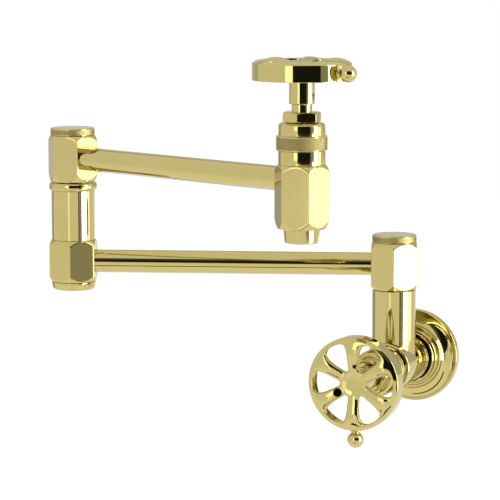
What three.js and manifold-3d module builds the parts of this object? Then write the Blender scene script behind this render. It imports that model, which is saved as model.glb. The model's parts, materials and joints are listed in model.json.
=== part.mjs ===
// Wall mounted pot filler: a valve on the wall, two swinging arms of equal length and a second
// valve over the outlet. Millimetres, +Z up. The origin is on the wall, on the wall valve's axis;
// +X runs to the right along the wall and +Y into it.

import * as THREE from 'three';
import { mergeVertices } from 'three/addons/utils/BufferGeometryUtils.js';
import Module from 'manifold-3d';

const wasm = await Module();
wasm.setup();

// ---------------------------------------------------------------- driving dimensions

// where the axes stand
const wallToRiser = 47.2;
const valveToLowerArm = 70.6;
const lowerToUpperArm = 72.65;
const armLength = 225;
const lowerArmTurn = 16.8;
const upperArmTurn = 23.8;
const spoutWheelTurn = 2.5;

// fits: the gap left between pieces fixed together, and between pieces that turn
const seam = 0.2;
const running = 0.3;
const swivelGap = 0.4;
const swivelGroove = 0.4;

// tubes, columns and hexagonal bodies
const tubeRadius = 8;
const tubeWall = 1.2;
const columnRadius = 15.1;
const columnBore = 11;
const hexAcross = 31.5;
const hexFaceRadius = 15.45;
const hexChamfer = 4;
const hexLongChamfer = 6;
const socketDepth = 3.2;
const shoulderHexBelow = 17.15;
const shoulderHexAbove = 15.75;
const lowerHexBelow = 14.1;
const lowerHexAbove = 15.3;
const upperHexBelow = 16.55;
const upperHexAbove = 15.95;
const spoutHexBelow = 30.75;
const spoutHexAbove = 10.45;
const beadRadius = 16.7;
const beadHeight = 5.7;
const beadRound = 1.4;

// caps
const capRadius = 15.35;
const capHeight = 5;
const capRound = 1.1;
const capPlugHeight = 1.6;
const bottomCapHeight = 5.5;
const bottomCapRound = 2;
const bottomCapPlugHeight = 4;

// swivel spindles
const journalRadius = 9.8;
const spindleBore = 6.5;
const spindlePlugHeight = 14;
const spindlePortRadius = 3;
const spindleThreadRadius = 6.2;
const nutRoom = 5.5;
const nutRoomRadius = 12;
const spindleNutAcross = 20;
const spindleNutHeight = 3.1;
const washerRecess = 0.8;
const washerOuterRadius = 12.9;
const washerThickness = 0.7;
const oRingWidth = 1.8;
const oRingDepth = 1.1;
const lowerOringDrop = 10;
const upperOringRise = 8.6;

// wall valve body and flange
const barrelRadius = 17.2;
const barrelBehindRiser = 2.5;
const barrelBeforeRiser = 17.5;
const barrelRound = 1.2;
const shankRadius = 16.2;
const shankLength = 19.2;
const spigotRadius = 9;
const spigotLength = 5;
const wallGap = 0.4;
const inletRadius = 10.2;
const inletDepth = 16;
const riserPortRadius = 4.5;
const riserPortOffset = 6;
const riserFloor = 12.5;
const flangeRadius = 32.8;
const flangeRim = 5.3;
const flangeLip = 2.1;
const flangeBeadRadius = 22.6;
const flangeBeadFace = 10.8;
const flangeCollarRadius = 18.5;
const flangeCollarFace = 15.2;
const flangeBore = 17.4;
const flangeSkirt = 6.5;
const flangeRecess = 3;
const gasketWidth = 6;
const gasketThickness = 2.4;

// the sleeve, ring, bonnet and nut over either valve
const stackFoot = 28.3;
const stackFootAboveArm = 19.4;
const ringRadius = 16.4;
const ringHeight = 9.75;
const knurlCount = 36;
const knurlDepth = 0.45;
const bonnetRadius = 15;
const bonnetHeight = 8.3;
const bonnetRound = 2.4;
const glandAcross = 22;
const glandHeight = 6.65;
const glandChamfer = 1.1;
const glandTurn = 30;

// ceramic cartridge
const chamberRadius = 9.5;
const chamberDepth = 28.3;
const cartridgeRadius = 9.2;
const cartridgeWaist = 8.3;
const cartridgeFootHeight = 3;
const cartridgeWindow = 5;
const neckRadius = 6.5;
const neckRise = 4.7;
const stemRadius = 3.9;
const stemGrooveDrop = 4;
const stemGrooveDepth = 1;
const stemGrooveWidth = 2;
const discChamberRadius = 7.4;
const discThickness = 3;
const discPortRadius = 1.7;
const discPortOffset = 3.6;
const seatWasherThickness = 1.8;
const stemFootThickness = 2;
const passageRadius = 6;

// hand wheels
const wheelRadius = 31.8;
const rimWidth = 10.85;
const rimWall = 2.1;
const rimRound = 0.9;
const spokeThickness = 4.7;
const crownInset = 11.8;
const crownRise = 3.2;
const dishRadius = 5;
const dishRise = 0.1;
const spokeRoot = 12.5;
const spokeCount = 6;
const openingApex = 7.6;
const openingHalfAngle = 27;
const openingTipRadius = 1.5;
const openingLedge = 1.4;
const openingCornerRadius = 4.5;
const hubRadius = 8.15;
const hubHeight = 15.1;
const stemInHub = 14;
const setScrewRadius = 2;
const setScrewRise = 5.5;
const setScrewTurn = 20;
const finialBallRadius = 5.5;
const finialBallRise = 7;
const finialBeadRadius = 3.75;
const finialNeckRadius = 2.3;
const finialStudRadius = 1.9;

// nozzle
const nozzleTopRadius = 11.7;
const nozzleFaceRadius = 10.9;
const nozzleHeight = 9;
const nozzleRound = 1;
const nozzleBore = 8.6;
const nozzleThreadRadius = 10.2;
const nozzleThreadHeight = 5.5;
const nozzleWasherThickness = 1.4;
const insertHeight = 6.5;
const insertHoleRadius = 1.5;
const insertHoleCircle = 5;
const insertHoleCount = 6;
const insertRecess = 0.8;

// facets round a full turn
const fine = 24;
const medium = 16;
const coarse = 12;

// ---------------------------------------------------------------- materials

const polishedBrass = { color: 0xcdb56b, roughness: 0.12, metalness: 1 };
const machinedBrass = { color: 0xb8994f, roughness: 0.4, metalness: 1 };
const steel = { color: 0x9a9da0, roughness: 0.35, metalness: 1 };
const rubber = { color: 0x1d1d1f, roughness: 0.85, metalness: 0 };
const nylon = { color: 0xe4e2da, roughness: 0.55, metalness: 0 };
const ceramic = { color: 0xf2efe8, roughness: 0.3, metalness: 0 };

// ---------------------------------------------------------------- solids

const radians = THREE.MathUtils.degToRad;
const hexCorner = hexAcross / Math.sqrt(3);

// A closed three.js geometry as a solid that can be cut and joined.
function solid(geometry) {
  const bare = geometry.clone();
  bare.deleteAttribute('normal');
  bare.deleteAttribute('uv');
  const merged = mergeVertices(bare, 1e-4);
  const index = merged.index.array;
  const triangles = [];
  for (let i = 0; i < index.length; i += 3) {
    const [a, b, c] = [index[i], index[i + 1], index[i + 2]];
    if (a !== b && b !== c && c !== a) triangles.push(a, b, c);
  }
  return new wasm.Manifold(new wasm.Mesh({
    numProp: 3,
    vertProperties: merged.attributes.position.array,
    triVerts: new Uint32Array(triangles),
  }));
}

function cut(body, ...tools) {
  return tools.reduce((rest, tool) => rest.subtract(tool), body);
}

function join(body, ...others) {
  return others.reduce((whole, other) => whole.add(other), body);
}

// A solid turned about the Z axis from [radius, height] points, outer side going up.
function turned(points, facets = fine) {
  const profile = points.map(([radius, height]) => new THREE.Vector2(radius, height));
  const geometry = new THREE.LatheGeometry(profile, facets);
  geometry.rotateX(Math.PI / 2);
  return solid(geometry);
}

// A ring of rectangular section about the Z axis.
function ring(inner, outer, low, high, facets = fine) {
  return turned([[inner, low], [outer, low], [outer, high], [inner, high], [inner, low]], facets);
}

function disc(radius, low, high, facets = fine) {
  return turned([[0, low], [radius, low], [radius, high], [0, high]], facets);
}

// A straight round bar between two points.
function rod(radius, from, to, facets = coarse) {
  const start = new THREE.Vector3(...from);
  const along = new THREE.Vector3(...to).sub(start);
  const geometry = new THREE.CylinderGeometry(radius, radius, along.length(), facets);
  geometry.translate(0, along.length() / 2, 0);
  const turn = new THREE.Quaternion().setFromUnitVectors(new THREE.Vector3(0, 1, 0), along.normalize());
  geometry.applyQuaternion(turn);
  geometry.translate(start.x, start.y, start.z);
  return solid(geometry);
}

// Points of a quarter round from one [radius, height] to another; hollow bends it inwards.
function quarter(from, to, steps, hollow = false) {
  const points = [];
  for (let i = 1; i <= steps; i += 1) {
    const angle = (Math.PI / 2) * (i / steps);
    const across = hollow ? Math.sin(angle) : 1 - Math.cos(angle);
    const up = hollow ? 1 - Math.cos(angle) : Math.sin(angle);
    points.push([from[0] + (to[0] - from[0]) * across, from[1] + (to[1] - from[1]) * up]);
  }
  return points;
}

// A six-sided bar about Z with two flats square to X.
function hexBar(across, low, high) {
  const outline = new THREE.Shape();
  for (let i = 0; i < 6; i += 1) {
    const angle = radians(30 + 60 * i);
    const corner = [across / Math.sqrt(3) * Math.cos(angle), across / Math.sqrt(3) * Math.sin(angle)];
    if (i === 0) outline.moveTo(...corner);
    else outline.lineTo(...corner);
  }
  outline.closePath();
  const geometry = new THREE.ExtrudeGeometry(outline, { depth: high - low, bevelEnabled: false });
  geometry.translate(0, 0, low);
  return solid(geometry);
}

// A hexagonal body whose corners are turned off in a cone at either end, as on a nut.
function hexBody(below, above, chamferBelow, chamferAbove) {
  const reach = hexCorner + seam;
  const cone = turned([
    [0, -below],
    [hexFaceRadius, -below],
    [reach, chamferBelow - below],
    [reach, above - chamferAbove],
    [hexFaceRadius, above],
    [0, above],
  ]);
  return hexBar(hexAcross, -below, above).intersect(cone);
}

// The hole in a flat that an arm's tube is brazed into; side is 1 towards +X and -1 towards -X.
function tubeSocket(side) {
  return rod(tubeRadius + seam, [0, 0, 0], [side * hexAcross, 0, 0], medium);
}

function piece(name, body, material, parent) {
  const mesh = body.getMesh();
  const geometry = new THREE.BufferGeometry();
  geometry.setAttribute('position', new THREE.BufferAttribute(mesh.vertProperties, 3));
  geometry.setIndex(new THREE.BufferAttribute(mesh.triVerts, 1));
  geometry.computeVertexNormals();
  const part = new THREE.Mesh(geometry, new THREE.MeshStandardMaterial(material));
  part.name = name;
  parent.add(part);
  return part;
}

function group(parent, position = [0, 0, 0]) {
  const made = new THREE.Group();
  made.position.set(...position);
  parent.add(made);
  return made;
}

// ---------------------------------------------------------------- frames of the moving bodies

const potFiller = new THREE.Group();

// along the wall valve: local +Z comes out of the wall, local +Y is up
const wallAxis = group(potFiller);
wallAxis.rotation.x = Math.PI / 2;

// up the riser: local zero is the height of the lower arm
const riserAxis = group(potFiller, [0, -wallToRiser, valveToLowerArm]);

// along the lower arm, from the riser to the elbow
const lowerArm = group(riserAxis);
lowerArm.rotation.z = radians(180 + lowerArmTurn);
const elbowAxis = group(lowerArm, [armLength, 0, 0]);

// along the upper arm, from the elbow to the spout
const upperArm = group(elbowAxis, [0, 0, lowerToUpperArm]);
upperArm.rotation.z = radians(180 - lowerArmTurn - upperArmTurn);
const spoutAxis = group(upperArm, [armLength, 0, 0]);

// ---------------------------------------------------------------- wall flange

// The round cover plate: a plain rim, a hollow cove, a bead, a second cove and a collar.
function wallFlange() {
  const lip = flangeRadius - flangeLip;
  const beadTop = flangeBeadRadius - flangeLip;
  return turned([
    [flangeRadius, 0],
    [flangeRadius, flangeRim - 0.7],
    ...quarter([flangeRadius, flangeRim - 0.7], [flangeRadius - 0.7, flangeRim], 2),
    [lip + 0.3, flangeRim],
    [lip, flangeRim - 0.4],
    ...quarter([lip, flangeRim - 0.4], [flangeBeadRadius, flangeBeadFace - 1.2], 5, true),
    ...quarter([flangeBeadRadius, flangeBeadFace - 1.2], [beadTop + 1, flangeBeadFace], 2),
    [beadTop, flangeBeadFace],
    ...quarter([beadTop, flangeBeadFace], [flangeCollarRadius, flangeCollarFace - 0.5], 3, true),
    [flangeCollarRadius - 0.4, flangeCollarFace],
    [flangeBore, flangeCollarFace],
    [flangeBore, flangeRecess],
    [flangeRadius - flangeSkirt, flangeRecess],
    [flangeRadius - flangeSkirt, 0],
    [flangeRadius, 0],
  ]);
}

function flangeGasket() {
  const outer = flangeRadius - flangeSkirt - seam;
  return ring(outer - gasketWidth, outer, seam, seam + gasketThickness);
}

function flangeOring() {
  const middle = (flangeRecess + flangeCollarFace) / 2;
  return ring(shankRadius + seam / 2, flangeBore - seam / 2, middle - 1, middle + 1);
}

piece('wall_flange', wallFlange(), polishedBrass, wallAxis);
piece('flange_gasket', flangeGasket(), rubber, wallAxis);
piece('flange_o_ring', flangeOring(), rubber, wallAxis);

// ---------------------------------------------------------------- wall valve body and riser

const riserTop = valveToLowerArm - shoulderHexBelow - swivelGroove;

// The threaded inlet on the wall pipe, with a spigot that is brazed into the valve body.
function inletShank() {
  return turned([
    [inletRadius, wallGap],
    [shankRadius, wallGap],
    [shankRadius, shankLength],
    [spigotRadius, shankLength],
    [spigotRadius, shankLength + spigotLength],
    [passageRadius, shankLength + spigotLength],
    [passageRadius, inletDepth],
    [inletRadius, inletDepth],
    [inletRadius, wallGap],
  ]);
}

// A barrel with the riser brazed upright into it, bored for water and cartridge.
function valveBody() {
  const tail = shankLength + seam;
  const back = wallToRiser - barrelBehindRiser;
  const front = wallToRiser + barrelBeforeRiser;
  const foot = wallToRiser + stackFoot;
  const barrel = turned([
    [0, tail],
    [columnRadius, tail],
    [columnRadius, back],
    [barrelRadius - barrelRound, back],
    ...quarter([barrelRadius - barrelRound, back], [barrelRadius, back + barrelRound], 2, true),
    [barrelRadius, front - barrelRound],
    ...quarter([barrelRadius, front - barrelRound], [barrelRadius - barrelRound, front], 2),
    [columnRadius, front],
    [columnRadius, foot],
    [0, foot],
  ]);
  const riser = rod(columnRadius, [0, 0, wallToRiser], [0, riserTop, wallToRiser], fine);
  const riserBore = rod(columnBore, [0, riserFloor, wallToRiser], [0, riserTop + 1, wallToRiser], fine);
  const portAxis = wallToRiser + riserPortOffset;
  const port = rod(riserPortRadius, [0, 0, portAxis], [0, riserFloor + 1, portAxis]);
  const chamber = disc(chamberRadius, foot - chamberDepth, foot + 1, medium);
  const passage = disc(passageRadius, tail - 1, foot - chamberDepth + 1, coarse);
  const spigotSocket = disc(spigotRadius + seam, tail - 1, tail + spigotLength);
  return cut(join(barrel, riser), riserBore, port, chamber, passage, spigotSocket);
}

piece('inlet_shank', inletShank(), polishedBrass, wallAxis);
piece('valve_body', valveBody(), polishedBrass, wallAxis);

// ---------------------------------------------------------------- swivel joints

// Where a swivel's nut room starts, above the arm's axis.
function ledgeRise(above) {
  return above - nutRoom;
}

// A hexagonal body that turns on a spindle, open below for it and above for its nut.
function swivelHex(below, above, chamferBelow, side) {
  const bore = journalRadius + swivelGap;
  const chamber = tubeRadius - tubeWall + seam / 2;
  const inside = turned([
    [0, -below - 1],
    [washerOuterRadius + running, -below - 1],
    [washerOuterRadius + running, washerRecess - below],
    [bore, washerRecess - below],
    [bore, -chamber],
    [nutRoomRadius, -chamber],
    [nutRoomRadius, chamber],
    [bore, chamber],
    [bore, ledgeRise(above)],
    [nutRoomRadius, ledgeRise(above)],
    [nutRoomRadius, above + 1],
    [0, above + 1],
  ], medium);
  return cut(hexBody(below, above, chamferBelow, hexChamfer), inside, tubeSocket(side));
}

// The fixed spindle inside a swivel: hollow, with four ports at the height of the arm.
function spindle(below, above) {
  const top = -below - swivelGroove;
  const grooveRadius = journalRadius - oRingDepth;
  const groove = (middle) => [
    [journalRadius, middle - oRingWidth / 2 - seam],
    [grooveRadius, middle - oRingWidth / 2 - seam],
    [grooveRadius, middle + oRingWidth / 2 + seam],
    [journalRadius, middle + oRingWidth / 2 + seam],
  ];
  const shoulder = ledgeRise(above) + seam / 2;
  const body = turned([
    [0, spindleBore],
    [spindleBore, spindleBore],
    [spindleBore, top - spindlePlugHeight],
    [columnBore - seam, top - spindlePlugHeight],
    [columnBore - seam, top],
    [journalRadius, top],
    ...groove(-lowerOringDrop),
    ...groove(upperOringRise),
    [journalRadius, shoulder],
    [spindleThreadRadius, shoulder],
    [spindleThreadRadius, shoulder + seam + spindleNutHeight],
    [0, shoulder + seam + spindleNutHeight],
  ], medium);
  const across = journalRadius + 1;
  const alongX = rod(spindlePortRadius, [-across, 0, 0], [across, 0, 0], 12);
  const alongY = rod(spindlePortRadius, [0, -across, 0], [0, across, 0], 12);
  return cut(body, alongX, alongY);
}

function oRing(middle) {
  const inner = journalRadius - oRingDepth + seam / 2;
  const outer = journalRadius + running / 2;
  const half = oRingWidth / 2;
  return turned([
    [inner, middle - half / 2],
    [(inner + outer) / 2, middle - half],
    [outer, middle - half / 2],
    [outer, middle + half / 2],
    [(inner + outer) / 2, middle + half],
    [inner, middle + half / 2],
    [inner, middle - half / 2],
  ], medium);
}

function thrustWasher(below) {
  const low = -below - swivelGroove + seam;
  return ring(journalRadius + running, washerOuterRadius, low, low + washerThickness, medium);
}

function spindleNut(above) {
  const low = ledgeRise(above) + seam / 2 + seam;
  const nut = hexBar(spindleNutAcross, low, low + spindleNutHeight);
  return cut(nut, disc(spindleThreadRadius + running, low - 1, low + spindleNutHeight + 1, coarse));
}

// The pieces of one swivel, named for the joint that they make.
function addSwivel(joint, below, above, parent) {
  piece(`${joint}_spindle`, spindle(below, above), machinedBrass, parent);
  piece(`${joint}_lower_o_ring`, oRing(-lowerOringDrop), rubber, parent);
  piece(`${joint}_upper_o_ring`, oRing(upperOringRise), rubber, parent);
  piece(`${joint}_thrust_washer`, thrustWasher(below), nylon, parent);
  piece(`${joint}_spindle_nut`, spindleNut(above), machinedBrass, parent);
}

// The screwed cap over a swivel's nut room.
function topCap(above) {
  const low = above + seam;
  const top = low + capHeight;
  return turned([
    [0, above - capPlugHeight],
    [nutRoomRadius - running, above - capPlugHeight],
    [nutRoomRadius - running, low],
    [capRadius, low],
    [capRadius, top - capRound],
    ...quarter([capRadius, top - capRound], [capRadius - capRound, top], 2),
    [0, top],
  ]);
}

// ---------------------------------------------------------------- lower arm

addSwivel('riser', shoulderHexBelow, shoulderHexAbove, riserAxis);

const tubeStart = hexAcross / 2 - socketDepth;

// An arm's tube, brazed into a flat of the hexagonal body at either end.
function armTube() {
  const length = armLength - 2 * tubeStart;
  const bore = tubeRadius - tubeWall;
  const geometry = ring(bore, tubeRadius, tubeStart, tubeStart + length, medium);
  return geometry.rotate([0, 90, 0]);
}

// The lower hexagonal body at the elbow, bored through for water.
function elbowLowerHex() {
  const body = hexBody(lowerHexBelow, lowerHexAbove, hexChamfer, hexChamfer);
  const bore = disc(columnBore, -lowerHexBelow - 1, lowerHexAbove + 1);
  return cut(body, bore, tubeSocket(-1));
}

function elbowBottomCap() {
  const high = -lowerHexBelow - seam;
  const low = high - bottomCapHeight;
  const round = bottomCapRound;
  return turned([
    [0, low],
    [capRadius - round, low],
    ...quarter([capRadius - round, low], [capRadius, low + round], 3, true),
    [capRadius, high],
    [columnBore - seam, high],
    [columnBore - seam, high + seam + bottomCapPlugHeight],
    [0, high + seam + bottomCapPlugHeight],
  ]);
}

function elbowCapSeal() {
  const low = -lowerHexBelow + bottomCapPlugHeight + seam;
  return ring(columnBore / 2, columnBore - seam, low, low + 1.5, coarse);
}

const beadTop = lowerToUpperArm - upperHexBelow - swivelGroove;
const beadFoot = beadTop - beadHeight;

function elbowColumn() {
  return ring(columnBore, columnRadius, lowerHexAbove + seam, beadFoot - seam);
}

// The half-round ring that the upper hexagonal body turns on.
function elbowBead() {
  const edge = beadRadius - beadRound;
  return turned([
    [columnBore, beadFoot],
    [edge, beadFoot],
    ...quarter([edge, beadFoot], [beadRadius, beadFoot + beadRound], 2, true),
    [beadRadius, beadTop - beadRound],
    ...quarter([beadRadius, beadTop - beadRound], [edge, beadTop], 2),
    [columnBore, beadTop],
    [columnBore, beadFoot],
  ]);
}

piece('shoulder_hex', swivelHex(shoulderHexBelow, shoulderHexAbove, hexChamfer, 1), polishedBrass, lowerArm);
piece('shoulder_cap', topCap(shoulderHexAbove), polishedBrass, lowerArm);
piece('lower_tube', armTube(), polishedBrass, lowerArm);
piece('elbow_lower_hex', elbowLowerHex(), polishedBrass, elbowAxis);
piece('elbow_bottom_cap', elbowBottomCap(), polishedBrass, elbowAxis);
piece('elbow_cap_seal', elbowCapSeal(), rubber, elbowAxis);
piece('elbow_column', elbowColumn(), polishedBrass, elbowAxis);
piece('elbow_bead', elbowBead(), polishedBrass, elbowAxis);
addSwivel('elbow', upperHexBelow, upperHexAbove, group(elbowAxis, [0, 0, lowerToUpperArm]));

// ---------------------------------------------------------------- upper arm and spout

const seatDrop = stackFootAboveArm - chamberDepth;

// The hexagonal spout body, with the round sleeve that carries the valve above it.
function spoutBody() {
  const body = join(
    hexBody(spoutHexBelow, spoutHexAbove, hexLongChamfer, hexChamfer),
    disc(columnRadius, spoutHexAbove - 1, stackFootAboveArm),
  );
  const chamber = disc(chamberRadius, seatDrop, stackFootAboveArm + 1, medium);
  const passage = disc(passageRadius, -spoutHexBelow, seatDrop + 1, coarse);
  const socketTop = nozzleThreadHeight + nozzleWasherThickness + seam - spoutHexBelow;
  const socket = disc(nozzleThreadRadius + seam, -spoutHexBelow - 1, socketTop);
  return cut(body, chamber, passage, socket, tubeSocket(-1));
}

// The outlet nozzle, which narrows a little towards its rounded mouth.
function nozzle() {
  const high = -spoutHexBelow - seam;
  const low = high - nozzleHeight;
  const foot = [nozzleFaceRadius, low + nozzleRound];
  return turned([
    [nozzleBore, low],
    [nozzleFaceRadius - nozzleRound, low],
    ...quarter([nozzleFaceRadius - nozzleRound, low], foot, 2, true),
    [nozzleTopRadius, high],
    [nozzleThreadRadius, high],
    [nozzleThreadRadius, high + nozzleThreadHeight],
    [nozzleBore - 1, high + nozzleThreadHeight],
    [nozzleBore - 1, low + insertRecess + insertHeight + seam],
    [nozzleBore, low + insertRecess + insertHeight + seam],
    [nozzleBore, low],
  ]);
}

// The jet insert inside the nozzle, pierced by a ring of holes and one in the middle.
function aeratorInsert() {
  const low = -spoutHexBelow - seam - nozzleHeight + insertRecess;
  const body = disc(nozzleBore - seam, low, low + insertHeight, medium);
  const hole = (x, y) => rod(insertHoleRadius, [x, y, low - 1], [x, y, low + insertHeight + 1], 10);
  const holes = [hole(0, 0)];
  for (let i = 0; i < insertHoleCount; i += 1) {
    const angle = (2 * Math.PI * i) / insertHoleCount;
    holes.push(hole(insertHoleCircle * Math.cos(angle), insertHoleCircle * Math.sin(angle)));
  }
  return cut(body, ...holes);
}

function aeratorWasher() {
  const low = -spoutHexBelow + nozzleThreadHeight;
  return ring(passageRadius - 0.5, nozzleThreadRadius - seam, low, low + nozzleWasherThickness, coarse);
}

piece('elbow_upper_hex', swivelHex(upperHexBelow, upperHexAbove, hexLongChamfer, 1), polishedBrass, upperArm);
piece('elbow_top_cap', topCap(upperHexAbove), polishedBrass, upperArm);
piece('upper_tube', armTube(), polishedBrass, upperArm);
piece('spout_body', spoutBody(), polishedBrass, spoutAxis);
piece('nozzle', nozzle(), polishedBrass, spoutAxis);
piece('aerator_insert', aeratorInsert(), nylon, spoutAxis);
piece('aerator_washer', aeratorWasher(), rubber, spoutAxis);

// ---------------------------------------------------------------- valve tops

const bonnetFoot = ringHeight;
const glandFoot = bonnetFoot + bonnetHeight;
const glandTop = glandFoot + glandHeight;
const hubFoot = glandTop + neckRise + running;

// The ring round the valve, cut with a fine knurl between two plain edges.
function knurledRing() {
  const outline = new THREE.Shape();
  for (let i = 0; i < 2 * knurlCount; i += 1) {
    const angle = (Math.PI * i) / knurlCount;
    const radius = i % 2 === 0 ? ringRadius : ringRadius - knurlDepth;
    const point = [radius * Math.cos(angle), radius * Math.sin(angle)];
    if (i === 0) outline.moveTo(...point);
    else outline.lineTo(...point);
  }
  outline.closePath();
  const height = ringHeight - 2 * seam;
  const geometry = new THREE.ExtrudeGeometry(outline, { depth: height, bevelEnabled: false });
  geometry.translate(0, 0, seam);
  return cut(solid(geometry), disc(chamberRadius, -1, ringHeight + 1, medium));
}

function bonnet() {
  const top = glandFoot - seam;
  return turned([
    [chamberRadius, bonnetFoot],
    [bonnetRadius, bonnetFoot],
    [bonnetRadius, top - bonnetRound],
    ...quarter([bonnetRadius, top - bonnetRound], [bonnetRadius - bonnetRound, top], 3),
    [chamberRadius, top],
    [chamberRadius, bonnetFoot],
  ]);
}

function glandNut() {
  const corner = glandAcross / Math.sqrt(3) + seam;
  const cone = turned([
    [0, glandFoot],
    [corner, glandFoot],
    [corner, glandTop - glandChamfer],
    [glandAcross / 2 - seam, glandTop],
    [0, glandTop],
  ], medium);
  const bore = disc(neckRadius + running, glandFoot - 1, glandTop + 1, coarse);
  return cut(hexBar(glandAcross, glandFoot, glandTop).intersect(cone), bore).rotate([0, 0, glandTurn]);
}

const seat = -chamberDepth;
const cartridgeFoot = seat + seam + seatWasherThickness + seam;
const fixedDiscFoot = cartridgeFoot + seam;
const movingDiscFoot = fixedDiscFoot + discThickness + seam;
const stemFoot = movingDiscFoot + discThickness + seam;
const stemShoulder = stemFoot + stemFootThickness;

// The cartridge's brass body: discs below, the stem through it, windows at its sides.
function cartridge() {
  const guide = stemRadius + running;
  const body = turned([
    [discChamberRadius, cartridgeFoot],
    [cartridgeRadius, cartridgeFoot],
    [cartridgeRadius, cartridgeFoot + cartridgeFootHeight],
    [cartridgeWaist, cartridgeFoot + cartridgeFootHeight],
    [cartridgeWaist, stemShoulder + cartridgeWindow + 1],
    [cartridgeRadius, stemShoulder + cartridgeWindow + 1],
    [cartridgeRadius, glandFoot - seam - seam],
    [neckRadius, glandFoot - seam - seam],
    [neckRadius, glandTop + neckRise],
    [guide, glandTop + neckRise],
    [guide, stemShoulder + cartridgeWindow],
    [discChamberRadius, stemShoulder + cartridgeWindow],
    [discChamberRadius, cartridgeFoot],
  ], medium);
  const reach = cartridgeRadius + 1;
  const windowRise = stemShoulder + cartridgeWindow / 2;
  const windows = rod(cartridgeWindow / 2, [-reach, 0, windowRise], [reach, 0, windowRise], 12);
  return cut(body, windows);
}

// A polished ceramic disc with two ports.
function ceramicDisc(radius, foot) {
  const body = disc(radius, foot, foot + discThickness, coarse);
  const port = (x) => rod(discPortRadius, [x, 0, foot - 1], [x, 0, foot + discThickness + 1], 10);
  return cut(body, port(discPortOffset), port(-discPortOffset));
}

function seatWasher() {
  const low = seat + seam;
  return ring(passageRadius - 1, cartridgeRadius, low, low + seatWasherThickness, coarse);
}

function stem() {
  const grooveFoot = glandTop - stemGrooveDrop;
  return turned([
    [0, stemFoot],
    [discChamberRadius - running, stemFoot],
    [discChamberRadius - running, stemShoulder],
    [stemRadius, stemShoulder],
    [stemRadius, grooveFoot],
    [stemRadius - stemGrooveDepth, grooveFoot],
    [stemRadius - stemGrooveDepth, grooveFoot + stemGrooveWidth],
    [stemRadius, grooveFoot + stemGrooveWidth],
    [stemRadius, hubFoot + stemInHub],
    [0, hubFoot + stemInHub],
  ], coarse);
}

function stemOring() {
  const low = glandTop - stemGrooveDrop + seam;
  const inner = stemRadius - stemGrooveDepth + seam / 2;
  return ring(inner, stemRadius + running / 2, low, low + stemGrooveWidth - 2 * seam, medium);
}

// ---------------------------------------------------------------- hand wheels

const rimFoot = hubHeight;
const rimTop = rimFoot + rimWidth;
const rimInside = wheelRadius - rimWall;
const crownRadius = wheelRadius - crownInset;
const openingOuterRadius = rimInside - openingLedge;

// Height of the wheel's face: flat in the middle, a shallow dish, a crown, then a fall to the rim.
function faceRise(radius) {
  if (radius <= dishRadius) return dishRise;
  if (radius <= crownRadius) {
    return dishRise + (crownRise - dishRise) * ((radius - dishRadius) / (crownRadius - dishRadius));
  }
  return crownRise * (1 - ((radius - crownRadius) / (wheelRadius - crownRadius)) ** 3);
}

// The outline of one opening between two spokes, a wedge with a small tip and round corners.
function openingOutline() {
  const half = radians(openingHalfAngle);
  const tip = openingApex + openingTipRadius / Math.sin(half);
  const corner = openingCornerRadius;
  const offsetX = openingApex + corner * Math.sin(half);
  const offsetY = -corner * Math.cos(half);
  const dot = offsetX * Math.cos(half) + offsetY * Math.sin(half);
  const rest = offsetX ** 2 + offsetY ** 2 - (openingOuterRadius - corner) ** 2;
  const along = Math.sqrt(dot ** 2 - rest) - dot;
  const centreX = offsetX + along * Math.cos(half);
  const centreY = offsetY + along * Math.sin(half);
  const swing = Math.atan2(centreY, centreX);
  const side = Math.PI / 2 + half;
  const outline = new THREE.Shape();
  outline.absarc(tip, 0, openingTipRadius, side, 2 * Math.PI - side, false);
  outline.absarc(centreX, -centreY, corner, -side, -swing, false);
  outline.absarc(0, 0, openingOuterRadius, -swing, swing, false);
  outline.absarc(centreX, centreY, corner, swing, side, false);
  outline.closePath();
  return outline;
}

// The cast wheel: hub, six spokes and a rim with a hollow back, in one piece.
function wheel() {
  const under = [spokeRoot, crownRadius];
  const fall = [0.08, 0.2, 0.4, 0.65].map((share) => wheelRadius - share * crownInset);
  const over = [...fall, crownRadius, spokeRoot, dishRadius];
  const blank = turned([
    [0, stemInHub + 1],
    [stemRadius + seam, stemInHub + 1],
    [stemRadius + seam, 0],
    [hubRadius - 0.6, 0],
    [hubRadius, 0.6],
    [hubRadius, rimFoot - 1],
    ...under.map((radius) => [radius, rimTop + faceRise(radius) - spokeThickness]),
    [rimInside, rimTop - spokeThickness],
    [rimInside, rimFoot + rimRound],
    [rimInside + rimRound / 2, rimFoot],
    [wheelRadius - rimRound, rimFoot],
    [wheelRadius, rimFoot + rimRound],
    [wheelRadius, rimTop - rimRound],
    ...over.map((radius) => [radius, rimTop + faceRise(radius)]),
    [0, rimTop + dishRise],
  ]);
  const settings = { depth: rimTop + crownRise, bevelEnabled: false, curveSegments: 2 };
  const opening = new THREE.ExtrudeGeometry(openingOutline(), settings);
  opening.translate(0, 0, rimFoot);
  opening.rotateZ(Math.PI / spokeCount);
  const openings = [];
  for (let i = 0; i < spokeCount; i += 1) {
    openings.push(solid(opening));
    opening.rotateZ((2 * Math.PI) / spokeCount);
  }
  const studRise = rimFoot + rimWidth / 2;
  const studHole = rod(finialStudRadius + seam, [rimInside - 1, 0, studRise], [wheelRadius + 1, 0, studRise], 12);
  const screwHole = rod(setScrewRadius + seam, [0, 0, setScrewRise], [hubRadius + 1, 0, setScrewRise], 12);
  return cut(blank, ...openings, studHole, screwHole.rotate([0, 0, setScrewTurn]));
}

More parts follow.
